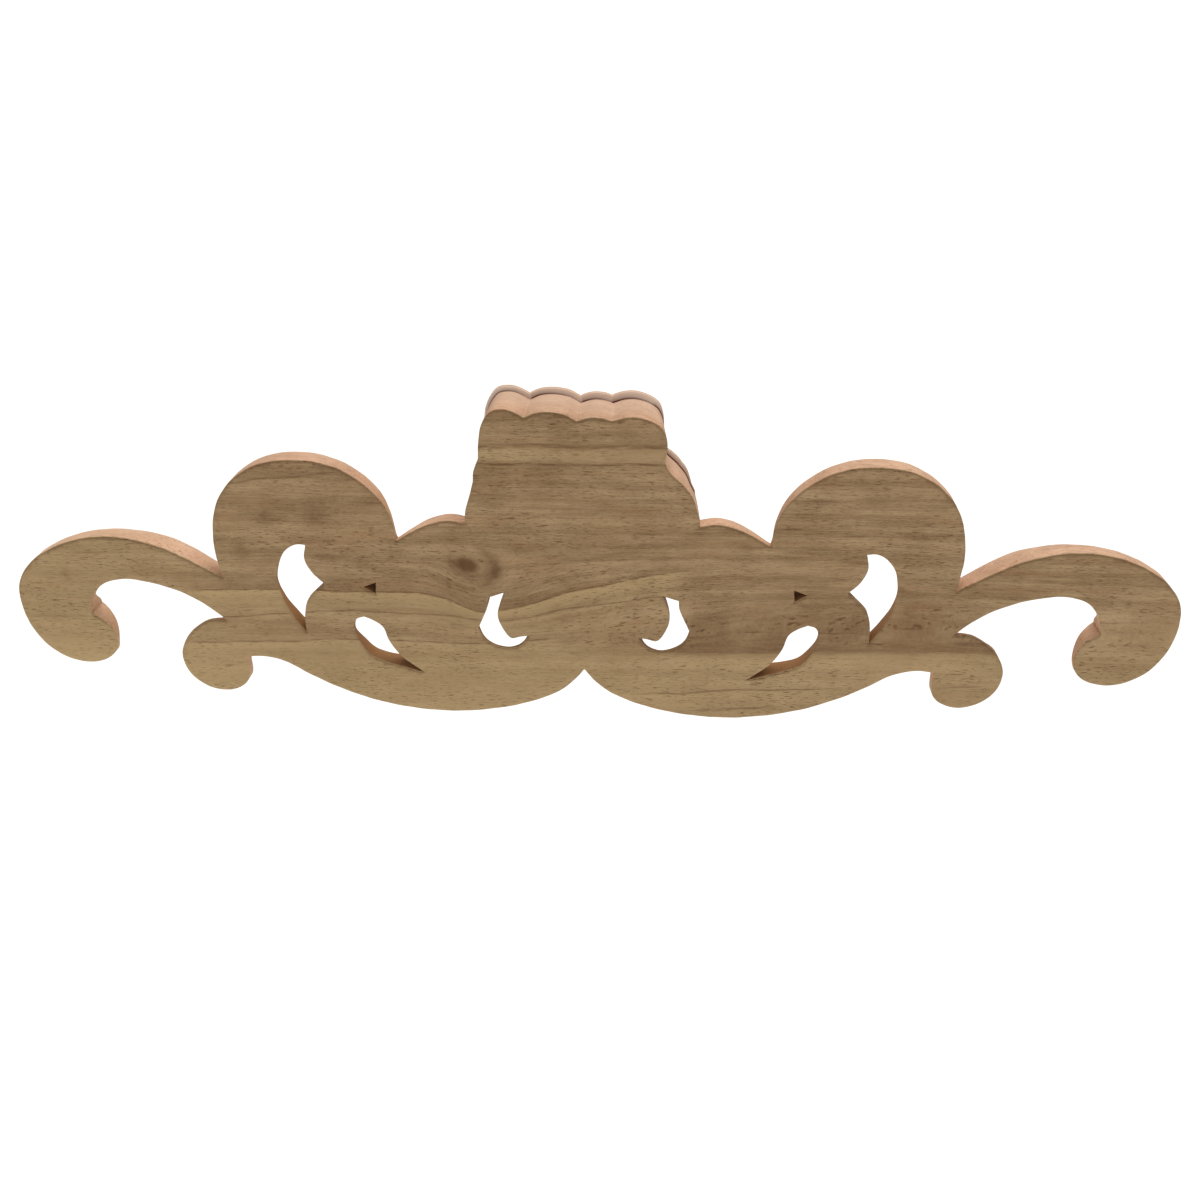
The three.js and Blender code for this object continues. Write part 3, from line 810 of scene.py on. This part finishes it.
# Growth lines: points, first and last X, half width, strength, reach and strength of the shade above, and the
# same of the paler wood below
GROWTH_LINES = [
    (DIPPING_LINE, -38, 142, 0.38, 0.75, 3.0, 0.4, 7.0, 0.75),
    (
        [
            (160, -23.5), (127, -22.8), (107, -21.3), (81, -19.4), (61, -19.9), (44, -21),
            (32, -22.3), (21, -21), (6, -17), (-14, -13.4), (-25, -11.8), (-45, -10.5),
        ],
        -36, 150, 0.4, 0.6, 2.0, 0.3, 3.0, 0.25,
    ),
    (
        [
            (145, -33.5), (134, -33.2), (110, -32.5), (85, -30.9), (66, -31.1), (38, -31.4),
            (18, -29.6), (1, -27.1),
        ],
        4, 148, 0.42, 0.6, 3.0, 0.3, 6.0, 0.3,
    ),
    (
        [(-20, -33), (-48, -33.6), (-66, -33.1), (-92, -32.1), (-150, -31)],
        -150, -24, 1.2, 0.35, 7.5, 0.9, 6.0, 0.45,
    ),
    (
        [(125, 27), (115, 28.1), (106, 29.5), (95, 30.5), (84, 31.8), (72, 33.2)],
        74, 124, 0.5, 0.55, 3.0, 0.3, 3.0, 0.1,
    ),
    ([(45, 40.6), (18, 42.2), (-3, 41.8), (-40, 42.9)], -40, 45, 1.0, 0.6, 2.5, 0.35, 4.0, 0.5),
    ([(45, 35.8), (2, 36), (-40, 36.4)], -40, 45, 0.5, 0.75, 1.2, 0.2, 2.0, 0.1),
    ([(-10, -51), (-41, -49.5), (-59, -48), (-100, -47)], -94, -14, 0.4, 0.6, 1.5, 0.2, 3.0, 0.2),
    ([(-30, -57.6), (-55, -56), (-75, -54)], -74, -34, 0.5, 0.6, 1.0, 0.1, 3.0, 0.1),
    ([(-118, -45.6), (-146, -44.1)], -144, -119, 0.4, 0.5, 1.0, 0.1, 2.0, 0.2),
]

# How far from their ends growth lines fade out, in millimetres, and the share of a line's half width over
# which the shade above it gives way to the paler wood below
LINE_FADE = 12.0
LINE_EDGE = 0.9

# Short dark streaks: middle, half length and half height, and strength
STREAKS = [
    (69, 21.5, 8.0, 0.5, 0.35), (-69, 14.3, 4.5, 0.4, 0.8), (-90, 12.2, 7.0, 0.45, 0.6),
    (-113, 16.7, 2.2, 0.4, 0.8), (-133, -27.6, 8.0, 1.4, 0.8), (31, 25.2, 6.0, 0.5, 0.5),
    (45, 13.0, 5.0, 0.5, 0.5), (90, 15.5, 3.0, 3.0, 0.45), (117, 3.4, 2.4, 3.6, 0.4),
    (107, 15.5, 2.2, 3.0, 0.36), (-102, -28.2, 9.0, 0.6, 0.8), (-58, -24.5, 7.0, 0.5, 0.7),
    (-176, -18.0, 9.0, 0.45, 0.6), (-160, -1.2, 8.0, 0.4, 0.6), (170, 1.5, 8.0, 0.4, 0.5),
    (188, -24.0, 7.0, 0.4, 0.5), (181, -7.5, 1.8, 2.6, 0.4), (-84, -24.4, 12.0, 0.6, 0.75),
    (-112, -22.0, 7.0, 0.5, 0.7), (-146, -24.0, 4.0, 0.6, 0.8), (-22, 12.0, 9.0, 0.45, 0.4),
    (12, 20.5, 10.0, 0.4, 0.4), (-76, 24.5, 9.0, 0.45, 0.5), (-94, 2.5, 6.0, 0.5, 0.55),
]

# How far the painted light on the lip's back blends into the wall, in millimetres
LIP_BLEND = 0.3

# Strength of the bump and specular level of bare wood
BUMP_STRENGTH = 0.6
GLOSS = 0.25


def wood_place(tree):
    """X, Y and Z in millimetres, and the wood's own height: Z with a dip that follows the dipping growth line
    and fades away from it, bent round the knot, so that what is level in it follows the fibres."""
    place = tree.nodes.new("ShaderNodeTexCoord")
    split = tree.nodes.new("ShaderNodeSeparateXYZ")
    tree.links.new(place.outputs["Object"], split.inputs[0])
    x, y, z = (Field(tree, socket) * PER_METRE for socket in split.outputs)
    dip = x.follow(DIPPING_LINE) - DIPPING_LEVEL
    flow = z - dip * z.hump(DIP_HEIGHT, DIP_REACH)
    across = (x - KNOT[0]) / KNOT_BEND_REACH[0]
    up = (z - KNOT[1]) / KNOT_BEND_REACH[1]
    near = ((across * across + up * up) * -1.0).of("EXPONENT")
    flow = flow - up * near * KNOT_BEND
    slow = noise(tree, x * 0.012, y * 0.05, z * 0.05, detail=2.0, roughness=0.5)
    return x, y, z, flow + (slow - 0.5) * 3.0


def spot(x, z, middle, height, half_length, half_height, strength):
    """A soft spot: the product of a bell along X and one along Z."""
    return x.hump(middle, half_length) * z.hump(height, half_height) * strength


def growth(tree, x, y, z):
    """The growth lines as three fields: the thin dark lines, with the short streaks among them, the shade
    that fades upward from each line and the paler wood that fades downward from it."""
    wander = (noise(tree, x * 0.05, y * 0.1, z * 0.1, detail=4.0, roughness=0.6) - 0.5) * 2.2
    broken = noise(tree, x * 0.16, y * 0.5, z * 1.3, detail=3.0, roughness=0.6).step(0.3, 0.62) * 0.75 + 0.25
    lines = shade = pale = None
    for points, first, last, reach, strength, up, shaded, down, paled in GROWTH_LINES:
        off = z + wander - x.follow(points)
        kept = x.between(first, last, LINE_FADE)
        over = off.step(-LINE_EDGE * reach, LINE_EDGE * reach)
        line = ((off / reach) * (off / reach) * -1.0).of("EXPONENT") * kept * strength
        above = (off.of("MAXIMUM", 0.0) * (-1.0 / up)).of("EXPONENT") * over * kept * shaded
        below = (off.of("MINIMUM", 0.0) * (1.0 / down)).of("EXPONENT") * (over * -1.0 + 1.0) * kept * paled
        lines = line if lines is None else lines.of("MAXIMUM", line)
        shade = above if shade is None else shade.of("MAXIMUM", above)
        pale = below if pale is None else pale.of("MAXIMUM", below)
    wavering = z + wander * 0.5
    for streak in STREAKS:
        lines = lines.of("MAXIMUM", spot(x, wavering, *streak))
    return lines * broken, shade * (broken * 0.6 + 0.4), pale


def knot_darkness(tree, x, z):
    """A dark core with a paler collar, an arc of dark wood that wraps the collar on one side, and a dark
    patch and speck beside them."""
    rough = noise(tree, x * 0.4, x * 0.1, z * 0.5, detail=3.0, roughness=0.6) - 0.5
    a = (x - KNOT[0]) / KNOT_SIZE[0]
    b = (z - KNOT[1] - (x - KNOT[0]) * KNOT_TILT) / KNOT_SIZE[1]
    away = (a * a + b * b).of("SQRT") + rough * 0.5
    core = (away * -1.0).step(-1.15, -0.5)
    side = (x - KNOT[0]) / KNOT_ARC_SIZE[0]
    height = (z - KNOT[1] + KNOT_ARC_DROP) / KNOT_ARC_SIZE[1]
    ring = (side * side + height * height).of("SQRT") + rough * 0.3
    arc = ring.hump(1.0, 0.22) * (x * -1.0).step(-37.5, -32.0)
    halo = (away * -1.0).step(-2.6, -1.0) * 0.22
    dark = core * 0.6 + halo + arc * 0.45 + spot(x, z, *KNOT_PATCH)
    return dark.of("MAXIMUM", spot(x, z, *KNOT_SPECK)).of("MINIMUM", 1.0)


def wood(name, tan, brown, dark, pale, red, roughness, bump_depth, figure, toning):
    """Rubberwood: brown to tan ground with slow bands, redder patches and fine fibres along X, short dark
    pore streaks, and growth lines with a knot. It is paler low down, which is painted light bounced up from
    the floor, and paler toward both ends. Fibres and pores also drive its roughness and bump, and the
    undercut, browned by the saw and darkened with painted shade, has no gloss. The figure is the strength of
    the lines, and toning adds what is special to one of the finishes."""
    material = bpy.data.materials.new(name)
    material.use_nodes = True
    tree = material.node_tree
    shader = tree.nodes["Principled BSDF"]
    x, y, z, flow = wood_place(tree)

    bands = noise(tree, x * 0.007, y * 0.11, flow * 0.22, detail=3.0, roughness=0.55)
    blotches = noise(tree, x * 0.06, y * 0.1, flow * 0.14, detail=4.0, roughness=0.6)
    ruddy = noise(tree, x * 0.03, y * 0.1, flow * 0.16 + 20.0, detail=4.0, roughness=0.65).step(0.46, 0.72)
    fibres = noise(tree, x * 0.06, y * 1.3, flow * 1.5, detail=5.0, roughness=0.65)
    fuzz = noise(tree, x * 0.7, y * 2.6, flow * 2.2, detail=3.0, roughness=0.7)
    wide = noise(tree, x * 0.19, y * 1.6, flow * 1.5, detail=3.0, roughness=0.55).step(0.6, 0.69)
    fine = noise(tree, x * 0.36, y * 2.4, flow * 2.6 + 40.0, detail=2.0, roughness=0.5).step(0.58, 0.66)
    where = noise(tree, x * 0.022, y * 0.2, z * 0.07, detail=2.0, roughness=0.5).step(0.35, 0.65)
    pores = wide.of("MAXIMUM", fine * 0.75) * (where * 0.65 + 0.35)

    shade = bands.step(0.36, 0.64) * 0.34 + blotches.step(0.36, 0.64) * 0.26 + fibres.step(0.38, 0.62) * 0.22
    shade = shade + fuzz.step(0.34, 0.66) * 0.18
    colour = blended(tree, shade, brown, tan)
    colour = blended(tree, ruddy * 0.3, colour, red)
    darkness = pores * 0.8
    # Painted light: paler low down, for light bounced up from the floor, and paler toward both ends
    floor_bounce_light = (z * -1.0).step(18.0, 52.0) * ((x * -1.0).step(10.0, 50.0) * -0.25 + 0.55)
    paleness_and_bounce_light = floor_bounce_light + x.step(90.0, 190.0) * 0.42 + (x * -1.0).step(130.0, 200.0) * 0.12
    if figure > 0:
        lines, above, below = growth(tree, x, y, z)
        paleness_and_bounce_light = paleness_and_bounce_light + below * figure
        darkness = darkness.of("MAXIMUM", lines * figure).of("MAXIMUM", above * 0.55 * figure)
        darkness = darkness.of("MAXIMUM", knot_darkness(tree, x, z) * figure)
    colour = blended(tree, paleness_and_bounce_light.of("MINIMUM", 1.0), colour, pale)
    colour = blended(tree, darkness, colour, dark)
    colour = toning(tree, colour, y)
    tree.links.new(colour, shader.inputs["Base Color"])

    rough = fibres * 0.16 + pores * 0.1 + (roughness - 0.08)
    tree.links.new(rough.socket, shader.inputs["Roughness"])
    height = fibres * 0.5 + fuzz * 0.5 - pores * 0.9
    bump = tree.nodes.new("ShaderNodeBump")
    bump.inputs["Strength"].default_value = BUMP_STRENGTH
    bump.inputs["Distance"].default_value = bump_depth
    tree.links.new(height.socket, bump.inputs["Height"])
    tree.links.new(bump.outputs["Normal"], shader.inputs["Normal"])
    # No gloss where the undercut is browned by the saw and darkened with painted shade
    gloss = attribute(tree, "saw_burn_and_shade") * -GLOSS + GLOSS
    tree.links.new(gloss.socket, shader.inputs["Specular IOR Level"])
    return material


def attribute(tree, name):
    """A value that the mesh holds at its points, as a field."""
    node = tree.nodes.new("ShaderNodeAttribute")
    node.attribute_name = name
    return Field(tree, node.outputs["Fac"])


def back_rim_line_and_shade(tree, colour, y):
    """A thin darker line just inside the back's sawn edges, made darker along the upper ones with painted
    shade.
    """
    line = attribute(tree, "rim").step(0.3, 1.0) * 0.5
    return blended(tree, line, colour, linear(92, 60, 34))


def wall_toning(tree, colour, y):
    """The wall is greyer toward the front. It is browner where it faces along X: partly end grain, where the
    saw crossed the fibres, and partly painted shade on these sideways walls. The back of the lip is paler
    with painted light. The undercut and the walls of the piercings are darker: partly browned by the saw's
    heat and partly painted shade in these recesses."""
    depth = y * -1.0
    colour = blended(tree, depth.step(1.0, 16.0) * 0.35, colour, linear(206, 180, 160))
    # Browner on walls that face along X: end grain, and painted shade on these sideways walls
    colour = blended(tree, attribute(tree, "end_grain_and_shade").step(0.1, 0.9) * 0.5, colour, linear(160, 116, 74))
    # Painted light: the back of the lip is paler, though it faces away from the lamp and stands over the
    # undercut
    past_lip = depth.step(LIP_BACK + 0.06, LIP_BACK + LIP_BLEND)
    lip = depth.step(LIP_BACK - LIP_BLEND, LIP_BACK) * (past_lip * -1.0 + 1.0)
    colour = blended(tree, lip, colour, linear(252, 232, 214))
    colour = blended(tree, attribute(tree, "saw_burn_and_shade"), colour, linear(110, 40, 16))
    # Painted shade and saw-browning on the walls of the piercings
    return blended(tree, attribute(tree, "piercing") * 0.85, colour, linear(144, 98, 44))


def front_valley_shade(tree, colour, y):
    """Painted shade: the front is darker where it lies lower than the wood round it, in its valleys."""
    return blended(tree, attribute(tree, "valley_shade") * 0.45, colour, linear(132, 92, 60))


def wood_materials():
    """The board's three finishes: the sawn back, the sawn edges and the sanded front."""
    # The sawn back has darker colours than the sawn edges: partly the wood's own difference, and partly
    # painted shade on the back and painted light on the edges, which face the lamp
    back = wood(
        "rubberwood_sawn_back",
        tan=linear(184, 155, 116),
        brown=linear(123, 94, 61),
        dark=linear(90, 54, 23),
        pale=linear(191, 163, 117),
        red=linear(150, 104, 66),
        roughness=0.72,
        bump_depth=0.00022,
        figure=1.0,
        toning=back_rim_line_and_shade,
    )
    edge = wood(
        "rubberwood_sawn_edge",
        tan=linear(213, 173, 142),
        brown=linear(170, 131, 101),
        dark=linear(134, 92, 64),
        pale=linear(214, 180, 146),
        red=linear(196, 140, 106),
        roughness=0.66,
        bump_depth=0.00012,
        figure=0.0,
        toning=wall_toning,
    )
    front = wood(
        "rubberwood_carved_front",
        tan=linear(206, 172, 132),
        brown=linear(178, 142, 104),
        dark=linear(128, 92, 62),
        pale=linear(212, 182, 144),
        red=linear(188, 142, 100),
        roughness=0.58,
        bump_depth=0.0001,
        figure=0.5,
        toning=front_valley_shade,
    )
    return back, edge, front


# Camera, light and floor

# Where the camera stands, in millimetres from the frame's origin, the way it looks and the way the right side
# of its frame points
CAMERA_PLACE = (-29.38, 352.5, 172.74)
CAMERA_AHEAD = (0.058967, -0.882943, -0.465762)
CAMERA_RIGHT = (-0.998064, -0.061388, -0.009985)
CAMERA_LENS = 35.0
CAMERA_SENSOR = 36.0

# How far below the board the floor lies, in millimetres, and how far it reaches, in metres
FLOOR_DROP = 260.0
FLOOR_REACH = 400.0
SKY_STRENGTH = 0.5


def plain_material(name, colour, roughness):
    """A material of one even colour."""
    material = bpy.data.materials.new(name)
    material.use_nodes = True
    shader = material.node_tree.nodes["Principled BSDF"]
    shader.inputs["Base Color"].default_value = (*colour, 1.0)
    shader.inputs["Roughness"].default_value = roughness
    return material


def camera():
    """A camera whose axes are named by the way it looks and the way its frame's right side points."""
    data = bpy.data.cameras.new("camera")
    data.lens = CAMERA_LENS
    data.sensor_width = CAMERA_SENSOR
    data.clip_start = 0.01
    data.clip_end = 2000.0
    ahead = Vector(CAMERA_AHEAD).normalized()
    right = Vector(CAMERA_RIGHT).normalized()
    up = right.cross(ahead)
    eye = bpy.data.objects.new("camera", data)
    place = Matrix.Translation(Vector(CAMERA_PLACE) * MILLIMETRE)
    eye.matrix_world = place @ Matrix((right, up, -ahead)).transposed().to_4x4()
    bpy.context.scene.collection.objects.link(eye)
    bpy.context.scene.camera = eye


def soft_sun(name, shines, width, strength, colour):
    """A distant lamp as wide as a large softbox, by the way it shines and the angle that it fills."""
    data = bpy.data.lights.new(name, "SUN")
    data.angle = math.radians(width)
    data.energy = strength
    data.color = colour
    lamp = bpy.data.objects.new(name, data)
    lamp.location = (0.0, 0.0, 1.5)
    lamp.rotation_euler = Vector(shines).to_track_quat("-Z", "Y").to_euler()
    bpy.context.scene.collection.objects.link(lamp)


def studio():
    """A pale floor below the board, an even pale sky, and one large soft lamp overhead that leans a little
    over to the carved side."""
    mesh = bpy.data.meshes.new("floor")
    level = LOW[2] - FLOOR_DROP * MM
    corners = [(x * FLOOR_REACH, y * FLOOR_REACH, level) for x, y in ((-1, -1), (1, -1), (1, 1), (-1, 1))]
    mesh.from_pydata(corners, [], [(0, 1, 2, 3)])
    mesh.materials.append(plain_material("pale_floor", colour=(0.93, 0.93, 0.93), roughness=0.9))
    floor = bpy.data.objects.new("floor", mesh)
    bpy.context.scene.collection.objects.link(floor)

    world = bpy.data.worlds.new("pale_sky")
    world.use_nodes = True
    sky = world.node_tree.nodes["Background"]
    sky.inputs["Color"].default_value = (1.0, 1.0, 1.0, 1.0)
    sky.inputs["Strength"].default_value = SKY_STRENGTH
    bpy.context.scene.world = world
    soft_sun(
        "overhead_lamp",
        shines=(0.15, 0.33, -0.93),
        width=50.0,
        strength=2.5,
        colour=(1.0, 0.98, 0.95),
    )
    bpy.context.scene.view_settings.view_transform = "Standard"


def main():
    """Places the camera, light and floor, makes the board and says what it stands for in the frame."""
    camera()
    studio()
    board = applique(wood_materials())
    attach(board, "root")
    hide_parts(NODE)


main()
